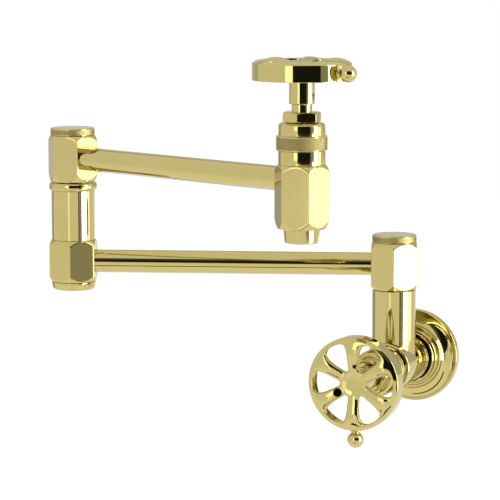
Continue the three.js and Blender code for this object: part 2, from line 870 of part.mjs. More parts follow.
// The ball on the rim, with a bead under it and a stud through the rim.
function finial() {
  const start = wheelRadius + seam;
  const ball = [];
  for (let i = 0; i <= 6; i += 1) {
    const angle = radians(-62 + (152 / 6) * i);
    const radius = i === 6 ? 0 : finialBallRadius * Math.cos(angle);
    ball.push([radius, wheelRadius + finialBallRise + finialBallRadius * Math.sin(angle)]);
  }
  const body = turned([
    [0, start - rimWall],
    [finialStudRadius, start - rimWall],
    [finialStudRadius, start],
    [finialBeadRadius - 0.4, start],
    [finialBeadRadius, start + 0.6],
    [finialBeadRadius - 0.5, start + 1.3],
    [finialNeckRadius, start + 1.7],
    ...ball,
  ], coarse);
  return body.rotate([0, 90, 0]).translate([0, 0, rimFoot + rimWidth / 2]);
}

// The socket screw that locks the wheel to its stem.
function setScrew() {
  const start = stemRadius + seam + 0.1;
  const end = hubRadius - 0.4;
  const body = rod(setScrewRadius, [start, 0, setScrewRise], [end, 0, setScrewRise], 12);
  const socket = rod(setScrewRadius / 2, [end - 1.6, 0, setScrewRise], [end + 1, 0, setScrewRise], 6);
  return cut(body, socket).rotate([0, 0, setScrewTurn]);
}

// The whole top of one valve, standing on its body at local zero; turn sets the wheel at rest.
function addValveTop(valve, turn, parent) {
  piece(`${valve}_knurled_ring`, knurledRing(), polishedBrass, parent);
  piece(`${valve}_bonnet`, bonnet(), polishedBrass, parent);
  piece(`${valve}_gland_nut`, glandNut(), polishedBrass, parent);
  piece(`${valve}_cartridge`, cartridge(), machinedBrass, parent);
  piece(`${valve}_fixed_disc`, ceramicDisc(discChamberRadius - seam, fixedDiscFoot), ceramic, parent);
  piece(`${valve}_seat_washer`, seatWasher(), rubber, parent);
  const turning = group(parent);
  turning.rotation.z = radians(turn);
  piece(`${valve}_moving_disc`, ceramicDisc(discChamberRadius - running, movingDiscFoot), ceramic, turning);
  piece(`${valve}_stem`, stem(), machinedBrass, turning);
  piece(`${valve}_stem_o_ring`, stemOring(), rubber, turning);
  const hub = group(turning, [0, 0, hubFoot]);
  piece(`${valve}_wheel`, wheel(), polishedBrass, hub);
  piece(`${valve}_finial`, finial(), polishedBrass, hub);
  piece(`${valve}_set_screw`, setScrew(), steel, hub);
}

const wallWheelTurn = -90;
addValveTop('wall', wallWheelTurn, group(wallAxis, [0, 0, wallToRiser + stackFoot]));
addValveTop('spout', spoutWheelTurn, group(spoutAxis, [0, 0, stackFootAboveArm]));

export default potFiller;
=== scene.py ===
import json
import math

import bmesh
import bpy
from mathutils import Matrix, Vector


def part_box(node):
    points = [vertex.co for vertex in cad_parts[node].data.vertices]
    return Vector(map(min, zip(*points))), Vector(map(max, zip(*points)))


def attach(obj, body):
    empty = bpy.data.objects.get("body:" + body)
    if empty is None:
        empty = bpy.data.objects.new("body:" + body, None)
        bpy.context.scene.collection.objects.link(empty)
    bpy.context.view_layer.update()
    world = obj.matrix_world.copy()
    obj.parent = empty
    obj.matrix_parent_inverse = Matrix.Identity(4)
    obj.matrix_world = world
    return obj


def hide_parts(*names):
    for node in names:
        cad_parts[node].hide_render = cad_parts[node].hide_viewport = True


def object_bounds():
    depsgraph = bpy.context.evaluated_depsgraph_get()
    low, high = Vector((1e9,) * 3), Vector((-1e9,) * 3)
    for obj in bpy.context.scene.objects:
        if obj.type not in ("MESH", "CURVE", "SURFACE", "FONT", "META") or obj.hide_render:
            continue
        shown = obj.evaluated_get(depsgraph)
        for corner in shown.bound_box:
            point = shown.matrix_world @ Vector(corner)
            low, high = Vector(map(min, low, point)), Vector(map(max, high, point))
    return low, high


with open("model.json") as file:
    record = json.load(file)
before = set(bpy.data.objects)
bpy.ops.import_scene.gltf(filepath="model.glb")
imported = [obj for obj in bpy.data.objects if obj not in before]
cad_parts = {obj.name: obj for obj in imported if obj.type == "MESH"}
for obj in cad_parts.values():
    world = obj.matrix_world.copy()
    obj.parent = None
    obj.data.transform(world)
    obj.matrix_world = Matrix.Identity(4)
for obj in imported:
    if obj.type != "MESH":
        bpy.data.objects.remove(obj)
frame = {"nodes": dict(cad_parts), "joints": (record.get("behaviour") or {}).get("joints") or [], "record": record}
cad_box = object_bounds()
mm = 0.001


# ---------------------------------------------------------------- where the axes stand
# The swivels and the two valves of the pot filler: the shoulder over the wall valve, the elbow
# between the arms and the spout at the outer end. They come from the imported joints.
places = {joint["name"]: Vector(joint["pos_m"]) for joint in frame["joints"]}
shoulder = places["shoulder_swivel"]
elbow = places["elbow_swivel"]
spout = places["spout_tap_turn"]
lower_elbow = Vector((elbow.x, elbow.y, shoulder.z))


def upright(at, towards=None):
    """A frame standing at a point, with its X axis turned to face another point."""
    turn = 0 if towards is None else math.atan2(towards.y - at.y, towards.x - at.x)
    return Matrix.Translation(at) @ Matrix.Rotation(turn, 4, "Z")


wall_axis = Matrix.Rotation(math.radians(90), 4, "X")
shoulder_axis = upright(shoulder, lower_elbow)
lower_elbow_axis = upright(lower_elbow, shoulder)
elbow_axis = upright(elbow, spout)
spout_axis = upright(spout, elbow)
wall_to_riser = -shoulder.y


# ---------------------------------------------------------------- camera
# The photograph was taken with a long lens from the right, a little above the arms.
camera_data = bpy.data.cameras.new("camera")
camera = bpy.data.objects.new("camera", camera_data)
bpy.context.scene.collection.objects.link(camera)
camera_turn = math.radians(22.0)
camera_drop = math.radians(7.332)
camera_roll = math.radians(0.055)
focal_pixels, picture_pixels = 2588.59, 500
camera_data.sensor_width = 36
camera_data.lens = focal_pixels / picture_pixels * camera_data.sensor_width
camera_data.clip_end = 20
camera.location = shoulder + Vector((575.2, -1690.7, 239.4)) * mm
camera.rotation_euler = (math.radians(90) - camera_drop, camera_roll, camera_turn)
bpy.context.scene.camera = camera


# ---------------------------------------------------------------- studio
# A white sweep under even light. Dark and bright cards stand outside the view, where the
# polished metal reflects them, as they did in the photographer's studio.
scene = bpy.context.scene
scene.view_settings.view_transform = "Standard"
world = bpy.data.worlds.new("studio")
scene.world = world
world.use_nodes = True
sky = world.node_tree
sky.nodes.clear()


def looked_at(tree):
    """1 for the rays that see, mirror or look through, and 0 for those that gather light."""
    rays = tree.nodes.new("ShaderNodeLightPath")
    seen = tree.nodes.new("ShaderNodeMath")
    seen.operation = "MAXIMUM"
    seen_or_through = tree.nodes.new("ShaderNodeMath")
    seen_or_through.operation = "MAXIMUM"
    tree.links.new(rays.outputs["Is Camera Ray"], seen.inputs[0])
    tree.links.new(rays.outputs["Is Glossy Ray"], seen.inputs[1])
    tree.links.new(seen.outputs[0], seen_or_through.inputs[0])
    tree.links.new(rays.outputs["Is Transmission Ray"], seen_or_through.inputs[1])
    return seen_or_through.outputs[0]


plain = sky.nodes.new("ShaderNodeBackground")
plain.inputs["Color"].default_value = (1, 1, 1, 1)
plain.inputs["Strength"].default_value = 0.55
white = sky.nodes.new("ShaderNodeBackground")
white.inputs["Color"].default_value = (1, 1, 1, 1)
white.inputs["Strength"].default_value = 1.0
choose = sky.nodes.new("ShaderNodeMixShader")
sky_out = sky.nodes.new("ShaderNodeOutputWorld")
sky.links.new(looked_at(sky), choose.inputs["Fac"])
sky.links.new(plain.outputs[0], choose.inputs[1])
sky.links.new(white.outputs[0], choose.inputs[2])
sky.links.new(choose.outputs[0], sky_out.inputs["Surface"])

floor_drop = 0.62
bpy.ops.object.select_all(action="DESELECT")
bpy.ops.mesh.primitive_plane_add(size=14, location=(0, -0.5, -floor_drop))
floor = bpy.context.object
floor.name = "floor"
# The floor is a matt white that the lamps shade, raised to white where it is seen or mirrored.
floor_paint = bpy.data.materials.new("floor_paint")
floor_paint.use_nodes = True
tree = floor_paint.node_tree
shade = tree.nodes["Principled BSDF"]
shade.inputs["Roughness"].default_value = 0.9
grain = tree.nodes.new("ShaderNodeTexNoise")
grain.inputs["Scale"].default_value = 3
tint = tree.nodes.new("ShaderNodeMix")
tint.data_type = "RGBA"
tint.inputs["A"].default_value = (0.93, 0.93, 0.93, 1)
tint.inputs["B"].default_value = (0.96, 0.96, 0.96, 1)
raised = tree.nodes.new("ShaderNodeEmission")
raised.inputs["Strength"].default_value = 0.5
unlit = tree.nodes.new("ShaderNodeMixShader")
none = tree.nodes.new("ShaderNodeEmission")
none.inputs["Strength"].default_value = 0
summed = tree.nodes.new("ShaderNodeAddShader")
tree.links.new(grain.outputs["Fac"], tint.inputs["Factor"])
tree.links.new(tint.outputs["Result"], shade.inputs["Base Color"])
tree.links.new(looked_at(tree), unlit.inputs["Fac"])
tree.links.new(none.outputs[0], unlit.inputs[1])
tree.links.new(raised.outputs[0], unlit.inputs[2])
tree.links.new(shade.outputs[0], summed.inputs[0])
tree.links.new(unlit.outputs[0], summed.inputs[1])
tree.links.new(summed.outputs[0], tree.nodes["Material Output"].inputs["Surface"])
floor.data.materials.append(floor_paint)


def lamp(name, at, size, power, aim):
    """A soft rectangular lamp that faces a point."""
    light = bpy.data.lights.new(name, "AREA")
    light.shape = "RECTANGLE"
    light.size, light.size_y = size
    light.energy = power
    holder = bpy.data.objects.new(name, light)
    scene.collection.objects.link(holder)
    holder.location = at
    holder.rotation_euler = (Vector(aim) - Vector(at)).to_track_quat("-Z", "Y").to_euler()
    holder.visible_glossy = False
    return holder


middle = Vector(((cad_box[0][0] + cad_box[1][0]) / 2, (cad_box[0][1] + cad_box[1][1]) / 2, 0.09))
lamp("key", (-0.9, -1.3, 1.2), (0.8, 0.8), 7, middle)
lamp("fill", (1.4, -0.7, 0.6), (0.5, 1.2), 4, middle)


def card(name, left, right, low, high, level, distance=2.4):
    """An upright card that only reflections see. Left and right are degrees to the right of the
    camera, as seen from the tap; low and high are heights in metres; a level of 1 is the white
    of the surroundings."""
    ends = []
    for side in (left, right):
        angle = camera_turn - math.radians(90) + math.radians(side)
        ends.append(middle + Vector((math.cos(angle), math.sin(angle), 0)) * distance)
    bpy.ops.object.select_all(action="DESELECT")
    bpy.ops.mesh.primitive_plane_add(size=1)
    made = bpy.context.object
    made.name = name
    across = ends[1] - ends[0]
    centre = (ends[0] + ends[1]) / 2
    centre.z = (low + high) / 2
    turn = Matrix.Rotation(math.atan2(across.y, across.x), 4, "Z") @ Matrix.Rotation(math.radians(90), 4, "X")
    spread = Matrix.Diagonal((across.length, high - low, 1, 1))
    made.matrix_world = Matrix.Translation(centre) @ turn @ spread
    paint = bpy.data.materials.new(name)
    paint.use_nodes = True
    nodes = paint.node_tree.nodes
    nodes.clear()
    glowing = nodes.new("ShaderNodeEmission")
    glowing.inputs["Color"].default_value = (1, 1, 1, 1)
    glowing.inputs["Strength"].default_value = level
    out = nodes.new("ShaderNodeOutputMaterial")
    paint.node_tree.links.new(glowing.outputs[0], out.inputs["Surface"])
    made.data.materials.append(paint)
    made.visible_camera = False
    made.visible_diffuse = False
    made.visible_shadow = False
    made.visible_transmission = False
    return made


split = -0.03
low_edge = -floor_drop
card("left_wall_strip", -37, -20, 0.0, 1.3, 2.2)
card("room_behind_camera", -20, 41.5, split, 0.9, 0.015)
card("room_ceiling", -20, 41.5, 0.9, 1.75, 0.1)
card("grey_curtain", 41.5, 60, split, 1.3, 0.38)
card("window", 60, 80, split, 1.5, 9)
card("low_left_strip", -27.4, -18, low_edge, split, 1.6)
card("dark_stand", 28.6, 35, low_edge, split, 0.03)
card("low_curtain", 36, 49, low_edge, split, 0.4)
card("low_window", 50, 80, low_edge, split, 9)
card("window_frame", 80, 84, low_edge, 1.5, 0.4)
card("side_wall", 84.5, 100, -0.35, 0.1, 3.0)
card("back_left", -180, -125, low_edge, -0.02, 0.5)
card("far_wall", 120, 240, 0, 1.2, 0.65)
# A dark mat lies on the floor in front of the tap: the thin second line along the lower arm.
mat_centre = Vector((0.1, -0.89, low_edge + 0.01))
mat_length, mat_width = 0.9, 0.22
dark_mat = card("dark_mat", 0, 1, 0, 1, 0.03)
dark_mat.matrix_world = Matrix.Translation(mat_centre) @ Matrix.Diagonal((mat_length, mat_width, 1, 1))


# ---------------------------------------------------------------- finishes
# Polished and lacquered brass on everything that shows, machined brass inside, and the small
# steel, rubber, nylon and ceramic pieces of the valves.
def value_input(group, name, value):
    socket = group.interface.new_socket(name=name, in_out="INPUT", socket_type="NodeSocketFloat")
    socket.default_value = value
    return socket


# Buffing leaves a faint swell and hairlines: a mask for the gloss and a height for the bump.
buffed = bpy.data.node_groups.new("buffed_surface", "ShaderNodeTree")
value_input(buffed, "Swell Scale", 60)
value_input(buffed, "Hairline Scale", 2200)
value_input(buffed, "Gloss Low", 0.03)
value_input(buffed, "Gloss High", 0.09)
buffed.interface.new_socket(name="Roughness", in_out="OUTPUT", socket_type="NodeSocketFloat")
buffed.interface.new_socket(name="Height", in_out="OUTPUT", socket_type="NodeSocketFloat")
entry = buffed.nodes.new("NodeGroupInput")
leave = buffed.nodes.new("NodeGroupOutput")
place = buffed.nodes.new("ShaderNodeTexCoord")
swell = buffed.nodes.new("ShaderNodeTexNoise")
swell.inputs["Detail"].default_value = 2
hair_map = buffed.nodes.new("ShaderNodeMapping")
hair_map.inputs["Scale"].default_value = (1, 1, 0.08)
hair = buffed.nodes.new("ShaderNodeTexNoise")
hair.inputs["Detail"].default_value = 4
smear = buffed.nodes.new("ShaderNodeMapRange")
both = buffed.nodes.new("ShaderNodeMath")
both.operation = "MULTIPLY_ADD"
both.inputs[1].default_value = 0.15
buffed.links.new(place.outputs["Object"], swell.inputs["Vector"])
buffed.links.new(entry.outputs["Swell Scale"], swell.inputs["Scale"])
buffed.links.new(place.outputs["Object"], hair_map.inputs["Vector"])
buffed.links.new(hair_map.outputs[0], hair.inputs["Vector"])
buffed.links.new(entry.outputs["Hairline Scale"], hair.inputs["Scale"])
buffed.links.new(hair.outputs["Fac"], smear.inputs["Value"])
buffed.links.new(entry.outputs["Gloss Low"], smear.inputs["To Min"])
buffed.links.new(entry.outputs["Gloss High"], smear.inputs["To Max"])
buffed.links.new(smear.outputs["Result"], leave.inputs["Roughness"])
buffed.links.new(hair.outputs["Fac"], both.inputs[0])
buffed.links.new(swell.outputs["Fac"], both.inputs[2])
buffed.links.new(both.outputs[0], leave.inputs["Height"])


def metal(name, colour, deep_colour, gloss, bump):
    """A metal with a slow drift of colour and the marks of its finish."""
    made = bpy.data.materials.new(name)
    made.use_nodes = True
    tree = made.node_tree
    shader = tree.nodes["Principled BSDF"]
    shader.inputs["Metallic"].default_value = 1
    marks = tree.nodes.new("ShaderNodeGroup")
    marks.node_tree = buffed
    marks.inputs["Gloss Low"].default_value, marks.inputs["Gloss High"].default_value = gloss
    where = tree.nodes.new("ShaderNodeTexCoord")
    drift = tree.nodes.new("ShaderNodeTexNoise")
    drift.inputs["Scale"].default_value = 22
    drift.inputs["Detail"].default_value = 3
    shades = tree.nodes.new("ShaderNodeMix")
    shades.data_type = "RGBA"
    shades.inputs["A"].default_value = (*colour, 1)
    shades.inputs["B"].default_value = (*deep_colour, 1)
    relief = tree.nodes.new("ShaderNodeBump")
    relief.inputs["Strength"].default_value = bump
    relief.inputs["Distance"].default_value = 0.02 * mm
    tree.links.new(where.outputs["Object"], drift.inputs["Vector"])
    tree.links.new(drift.outputs["Fac"], shades.inputs["Factor"])
    tree.links.new(shades.outputs["Result"], shader.inputs["Base Color"])
    tree.links.new(marks.outputs["Roughness"], shader.inputs["Roughness"])
    tree.links.new(marks.outputs["Height"], relief.inputs["Height"])
    tree.links.new(relief.outputs["Normal"], shader.inputs["Normal"])
    return made


polished_brass = metal("polished_brass", (0.567, 0.482, 0.19), (0.517, 0.432, 0.16), (0.025, 0.07), 0.25)
machined_brass = metal("machined_brass", (0.50, 0.38, 0.13), (0.44, 0.33, 0.11), (0.22, 0.38), 0.6)
# The knurled faces get a darker, rougher brass: painted shade of the grooves between their teeth.
knurl_shade_brass = metal("knurl_shade_brass", (0.33, 0.275, 0.1), (0.27, 0.225, 0.08), (0.24, 0.36), 0.4)
screw_steel = metal("screw_steel", (0.36, 0.37, 0.39), (0.28, 0.28, 0.30), (0.25, 0.4), 0.5)


def moulded(name, colour, deep_colour, roughness, scale):
    """A moulded or fired material with a fine mottle in its colour, gloss and surface."""
    made = bpy.data.materials.new(name)
    made.use_nodes = True
    tree = made.node_tree
    shader = tree.nodes["Principled BSDF"]
    where = tree.nodes.new("ShaderNodeTexCoord")
    mottle = tree.nodes.new("ShaderNodeTexNoise")
    mottle.inputs["Scale"].default_value = scale
    mottle.inputs["Detail"].default_value = 4
    shades = tree.nodes.new("ShaderNodeMix")
    shades.data_type = "RGBA"
    shades.inputs["A"].default_value = (*colour, 1)
    shades.inputs["B"].default_value = (*deep_colour, 1)
    sheen = tree.nodes.new("ShaderNodeMapRange")
    sheen.inputs["To Min"].default_value, sheen.inputs["To Max"].default_value = roughness
    relief = tree.nodes.new("ShaderNodeBump")
    relief.inputs["Strength"].default_value = 0.3
    relief.inputs["Distance"].default_value = 0.05 * mm
    tree.links.new(where.outputs["Object"], mottle.inputs["Vector"])
    tree.links.new(mottle.outputs["Fac"], shades.inputs["Factor"])
    tree.links.new(mottle.outputs["Fac"], sheen.inputs["Value"])
    tree.links.new(mottle.outputs["Fac"], relief.inputs["Height"])
    tree.links.new(shades.outputs["Result"], shader.inputs["Base Color"])
    tree.links.new(sheen.outputs["Result"], shader.inputs["Roughness"])
    tree.links.new(relief.outputs["Normal"], shader.inputs["Normal"])
    return made


black_rubber = moulded("black_rubber", (0.016, 0.016, 0.017), (0.03, 0.03, 0.032), (0.55, 0.75), 900)
white_nylon = moulded("white_nylon", (0.74, 0.72, 0.66), (0.66, 0.64, 0.58), (0.35, 0.55), 600)
lapped_ceramic = moulded("lapped_ceramic", (0.86, 0.84, 0.79), (0.8, 0.78, 0.73), (0.1, 0.2), 1500)
finishes = {
    "polished_brass": polished_brass, "machined_brass": machined_brass, "steel": screw_steel,
    "rubber": black_rubber, "nylon": white_nylon, "ceramic": lapped_ceramic,
}
for part in frame["record"]["subparts"]:
    node = frame["nodes"][part["node"]]
    node.data.materials.clear()
    node.data.materials.append(finishes[part["material_slot"]])


# ---------------------------------------------------------------- wall flange
# The round cover plate: pressed brass with a plain rim, a hollow cove, a bead, a second cove and
# a collar round the valve body. It slides on and is held against the wall by the body.
def rounded(start, end, steps=6, hollow=False):
    """Rings along a quarter round from one (radius, height) to another."""
    points = []
    for i in range(1, steps + 1):
        angle = math.pi / 2 * i / steps
        across = math.sin(angle) if hollow else 1 - math.cos(angle)
        up = 1 - math.cos(angle) if hollow else math.sin(angle)
        points.append((start[0] + (end[0] - start[0]) * across, start[1] + (end[1] - start[1]) * up))
    return points


def turned(name, rings, steps=96, closed=False):
    """A piece turned about Z: a circle drawn out and resized ring by ring, in millimetres. Its ends
    are flat discs, or it closes on its first ring."""
    bpy.ops.object.select_all(action="DESELECT")
    radius, height = rings[0]
    bpy.ops.mesh.primitive_circle_add(vertices=steps, radius=radius * mm, location=(0, 0, height * mm))
    made = bpy.context.object
    made.name = name
    bpy.ops.object.transform_apply(location=True)
    bpy.ops.object.mode_set(mode="EDIT")
    bpy.ops.mesh.select_mode(type="VERT")
    bpy.ops.mesh.select_all(action="SELECT")
    if not closed:
        bpy.ops.mesh.edge_face_add()
    around = {"orient_type": "GLOBAL"}
    for next_radius, next_height in rings[1:]:
        rise = {"value": (0, 0, (next_height - height) * mm)}
        bpy.ops.mesh.extrude_region_move(TRANSFORM_OT_translate=rise)
        change = next_radius / radius
        centre = (0, 0, next_height * mm)
        bpy.ops.transform.resize(value=(change, change, 1), center_override=centre, **around)
        radius, height = next_radius, next_height
    if closed:
        bpy.ops.mesh.select_all(action="SELECT")
        bpy.ops.mesh.remove_doubles(threshold=1e-7)
    else:
        bpy.ops.mesh.select_mode(type="EDGE")
        bpy.ops.mesh.select_all(action="DESELECT")
        bpy.ops.mesh.select_non_manifold(extend=False)
        bpy.ops.mesh.edge_face_add()
    bpy.ops.mesh.select_all(action="SELECT")
    bpy.ops.mesh.normals_make_consistent(inside=False)
    bpy.ops.object.mode_set(mode="OBJECT")
    return made


def soften(made, width, segments=3, angle=28):
    """Breaks the sharp edges as polishing does, and keeps the faces between them true."""
    edges = made.modifiers.new("edges", "BEVEL")
    edges.limit_method = "ANGLE"
    edges.angle_limit = math.radians(angle)
    edges.width = width * mm
    edges.segments = segments
    edges.profile = 0.6
    true_faces(made)


def true_faces(made):
    """Applies what is on the piece and shades it smooth, with the large faces kept flat."""
    bpy.ops.object.select_all(action="DESELECT")
    made.select_set(True)
    bpy.context.view_layer.objects.active = made
    for polygon in made.data.polygons:
        polygon.use_smooth = True
    weights = made.modifiers.new("weights", "WEIGHTED_NORMAL")
    weights.weight = 80
    for modifier in list(made.modifiers):
        bpy.ops.object.modifier_apply(modifier=modifier.name)


def fit(made, place, body, node, material, slot, grip=None):
    """Puts a finished piece in its place on a body, instead of the plain solid. A grip is the
    finish of its knurled faces: a darker brass that paints the shade of their grooves."""
    bpy.ops.object.select_all(action="DESELECT")
    made.select_set(True)
    bpy.context.view_layer.objects.active = made
    made.matrix_world = place @ made.matrix_world
    bpy.ops.object.transform_apply(location=True, rotation=True, scale=True)
    made.data.materials.append(material)
    if grip:
        made.data.materials.append(grip)
    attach(made, body)
    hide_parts(node)
    return made


flange_radius = 32.8
flange_rings = [
    (26.3, 0), (flange_radius, 0), (flange_radius, 4.5),
    *rounded((flange_radius, 4.5), (flange_radius - 0.8, 5.3)),
    (31.0, 5.3), (30.75, 4.9),
    *rounded((30.75, 4.9), (22.6, 9.6), 14, hollow=True),
    *rounded((22.6, 9.6), (21.5, 10.8), 6),
    (20.9, 10.8), (20.75, 10.4), (20.4, 10.4), (20.25, 10.9), (19.9, 10.9),
    *rounded((19.9, 10.9), (18.5, 14.7), 8, hollow=True),
    (18.1, 15.2), (17.4, 15.2), (17.4, 3), (26.3, 3), (26.3, 0),
]
flange = turned("flange_plate", flange_rings, steps=160, closed=True)
soften(flange, 0.15, 2)
fit(flange, wall_axis, "wall_valve", "wall_flange", polished_brass, "polished_brass")


# ---------------------------------------------------------------- wall valve body and riser
# A turned barrel that screws onto the wall pipe, with the riser brazed upright into its thick
# middle. It is one polished piece, with a groove where the flange's collar meets it.
def combine(made, other, operation):
    """Joins, cuts or trims a piece with another and takes the other away."""
    bpy.ops.object.select_all(action="DESELECT")
    bpy.context.view_layer.objects.active = made
    made.select_set(True)
    cutter = made.modifiers.new("cutter", "BOOLEAN")
    cutter.operation = operation
    cutter.solver = "EXACT"
    cutter.object = other
    bpy.ops.object.modifier_apply(modifier=cutter.name)
    bpy.data.objects.remove(other)
    return made


column_radius = 15.1
barrel_radius = 17.2
barrel_round = 1.2
barrel_back = wall_to_riser / mm - 2.5
barrel_front = wall_to_riser / mm + 17.5
valve_foot = wall_to_riser / mm + 28.3
riser_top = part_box("valve_body")[1].z / mm
inlet_radius, inlet_depth = 10.2, 16
spigot_radius, passage_radius = 9, 6
shank_foot, shank_radius, shank_length = 0.4, 16.2, 19.2
broken_edge = 0.3
spigot_end = shank_length + 5
shank_rings = [
    (inlet_radius, shank_foot + broken_edge), (inlet_radius + broken_edge, shank_foot),
    (shank_radius - broken_edge, shank_foot), (shank_radius, shank_foot + broken_edge),
    (shank_radius, shank_length - broken_edge), (shank_radius - broken_edge, shank_length),
    (spigot_radius, shank_length), (spigot_radius, spigot_end), (passage_radius, spigot_end),
    (passage_radius, inlet_depth), (inlet_radius, inlet_depth), (inlet_radius, shank_foot + broken_edge),
]
shank = turned("pipe_socket", shank_rings, steps=128, closed=True)
true_faces(shank)
fit(shank, wall_axis, "wall_valve", "inlet_shank", polished_brass, "polished_brass")

body_bore = 9.5
body_back = shank_length + 0.2
barrel_inside = barrel_radius - barrel_round
body_rings = [
    (body_bore, body_back), (column_radius - broken_edge, body_back),
    (column_radius, body_back + broken_edge), (column_radius, 20), (column_radius, 30.5),
    (column_radius, 31), (column_radius, barrel_back), (barrel_inside, barrel_back),
    *rounded((barrel_inside, barrel_back), (barrel_radius, barrel_back + barrel_round), 6, hollow=True),
    (barrel_radius, barrel_back + 1.5), (barrel_radius, barrel_front - 1.5),
    (barrel_radius, barrel_front - barrel_round),
    *rounded((barrel_radius, barrel_front - barrel_round), (barrel_inside, barrel_front), 6),
    (column_radius, barrel_front), (column_radius, barrel_front + broken_edge),
    (column_radius, valve_foot - broken_edge), (column_radius - broken_edge, valve_foot),
    (body_bore, valve_foot), (body_bore, body_back),
]
body = turned("valve_barrel", body_rings, steps=128, closed=True)
column_bore = 11
riser_foot = 2
riser_rings = [
    (column_bore, riser_foot), (column_radius, riser_foot), (column_radius, 17.6), (column_radius, 18),
    (column_radius, riser_top - 2 * broken_edge), (column_radius, riser_top - broken_edge),
    (column_radius - broken_edge, riser_top), (column_bore, riser_top), (column_bore, riser_foot),
]
riser = turned("riser", riser_rings, steps=128, closed=True)
riser.matrix_world = Matrix.Translation((0, 0, wall_to_riser)) @ Matrix.Rotation(math.radians(-90), 4, "X")
combine(body, riser, "UNION")
bpy.ops.object.shade_smooth_by_angle(angle=math.radians(25))
fit(body, wall_axis, "wall_valve", "valve_body", polished_brass, "polished_brass")


# ---------------------------------------------------------------- swivel bodies
# Hexagonal bar stock with its corners turned off in a cone at both ends, like a nut. The arms'
# tubes are brazed into their flats.
hex_across = 31.5
hex_face = 15.45
shoulder_below, shoulder_above = 17.15, 15.75
foot_below, foot_above = 14.1, 15.3
head_below, head_above = 16.55, 15.95
short_cone, long_cone = 4, 6
buffed_edge = 0.5


def lesser(first, second, width):
    """The smaller of two radii, rounded off where they meet."""
    share = min(max(0.5 + (second - first) / (2 * width), 0), 1)
    return second + (first - second) * share - width * share * (1 - share)


def hexagonal(name, across, low, high, face, chamfers, buffing, above=()):
    """Hexagonal stock between two heights: a turned blank, drawn in to its six flats and to the
    cone at either end, with buffed edges. The blank can go on above it with more rings."""
    reach = across / math.sqrt(3) + 0.3
    chamfer_low, chamfer_high = chamfers
    row = 0.25
    low_rows, high_rows = round(chamfer_low / row), round(chamfer_high / row)
    heights = [low + i * row for i in range(low_rows + 3)]
    heights += [low + (high - low) * share for share in (0.35, 0.5, 0.65)]
    heights += [high - i * row for i in range(high_rows + 2, -1, -1)]
    blank = [(face - 1, low), *[(reach, height) for height in sorted(heights)], (face - 1, high), *above]
    made = turned(name, blank, steps=360)
    for vertex in made.data.vertices:
        height = vertex.co.z / mm
        radius = math.hypot(vertex.co.x, vertex.co.y) / mm
        if radius > reach - 0.01:
            turn = (math.degrees(math.atan2(vertex.co.y, vertex.co.x)) + 30) % 60 - 30
            flat = across / 2 / math.cos(math.radians(turn))
            next_flat = across / 2 / math.cos(math.radians(60 - abs(turn)))
            rise_low = (height - low) / chamfer_low
            rise_high = (high - height) / chamfer_high
            cone = face + (reach - face) * min(rise_low, rise_high)
            end = max(0, buffing - min(height - low, high - height)) / buffing
            cone -= buffing * (1 - math.sqrt(max(0, 1 - end ** 2))) * 0.5
            wanted = lesser(lesser(flat, next_flat, buffing), cone, buffing)
            vertex.co.x *= wanted / radius
            vertex.co.y *= wanted / radius
    true_faces(made)
    return made


shoulder_hex = hexagonal(
    "shoulder_body", hex_across, -shoulder_below, shoulder_above, hex_face, (short_cone, short_cone),
    buffed_edge,
)
fit(shoulder_hex, shoulder_axis, "lower_arm", "shoulder_hex", polished_brass, "polished_brass")
lower_hex = hexagonal(
    "elbow_foot_body", hex_across, -foot_below, foot_above, hex_face, (short_cone, short_cone),
    buffed_edge,
)
fit(lower_hex, lower_elbow_axis, "lower_arm", "elbow_lower_hex", polished_brass, "polished_brass")
upper_hex = hexagonal(
    "elbow_head_body", hex_across, -head_below, head_above, hex_face, (long_cone, short_cone),
    buffed_edge,
)
fit(upper_hex, elbow_axis, "upper_arm", "elbow_upper_hex", polished_brass, "polished_brass")


# ---------------------------------------------------------------- swivel caps
# Low brass caps screwed over the swivels' nuts. Their edges carry a fine straight knurl between
# two plain lips, so that they can be gripped.
cap_radius = 15.35
cap_height = 5
cap_teeth = 132
cap_tooth_depth = 0.12


def knurl(made, low, high, tooth, leave):
    """Presses a knurl into the round side between two heights; tooth gives its depth at a point."""
    for vertex in made.data.vertices:
        height = vertex.co.z / mm
        radius = math.hypot(vertex.co.x, vertex.co.y) / mm
        if low < height < high and radius > leave:
            angle = math.atan2(vertex.co.y, vertex.co.x)
            pressed = (radius - tooth(angle, height)) / radius
            vertex.co.x *= pressed
            vertex.co.y *= pressed
    # The knurled faces take the piece's second finish, the darker brass with painted groove shade.
    for polygon in made.data.polygons:
        radius = math.hypot(polygon.center.x, polygon.center.y) / mm
        if low < polygon.center.z / mm < high and radius > leave - 0.4:
            polygon.material_index = 1


def straight_tooth(angle, height):
    wave = angle * cap_teeth / (2 * math.pi) % 1
    return cap_tooth_depth * abs(2 * wave - 1)


def swivel_cap(name, above):
    low = above + 0.2
    top = low + cap_height
    rings = [
        (cap_radius - 0.35, above - 1), (cap_radius - 0.35, low), (cap_radius - 0.15, low),
        (cap_radius, low + 0.15), (cap_radius, low + 0.55), (cap_radius, low + 0.6),
        (cap_radius, top - 1.2), (cap_radius, top - 1.15),
        *rounded((cap_radius, top - 0.9), (cap_radius - 0.9, top), 6),
        (cap_radius - 1.6, top), (cap_radius - 4, top),
    ]
    made = turned(name, rings, steps=cap_teeth * 4)
    knurl(made, low + 0.57, top - 1.17, straight_tooth, cap_radius - 0.1)
    true_faces(made)
    return made


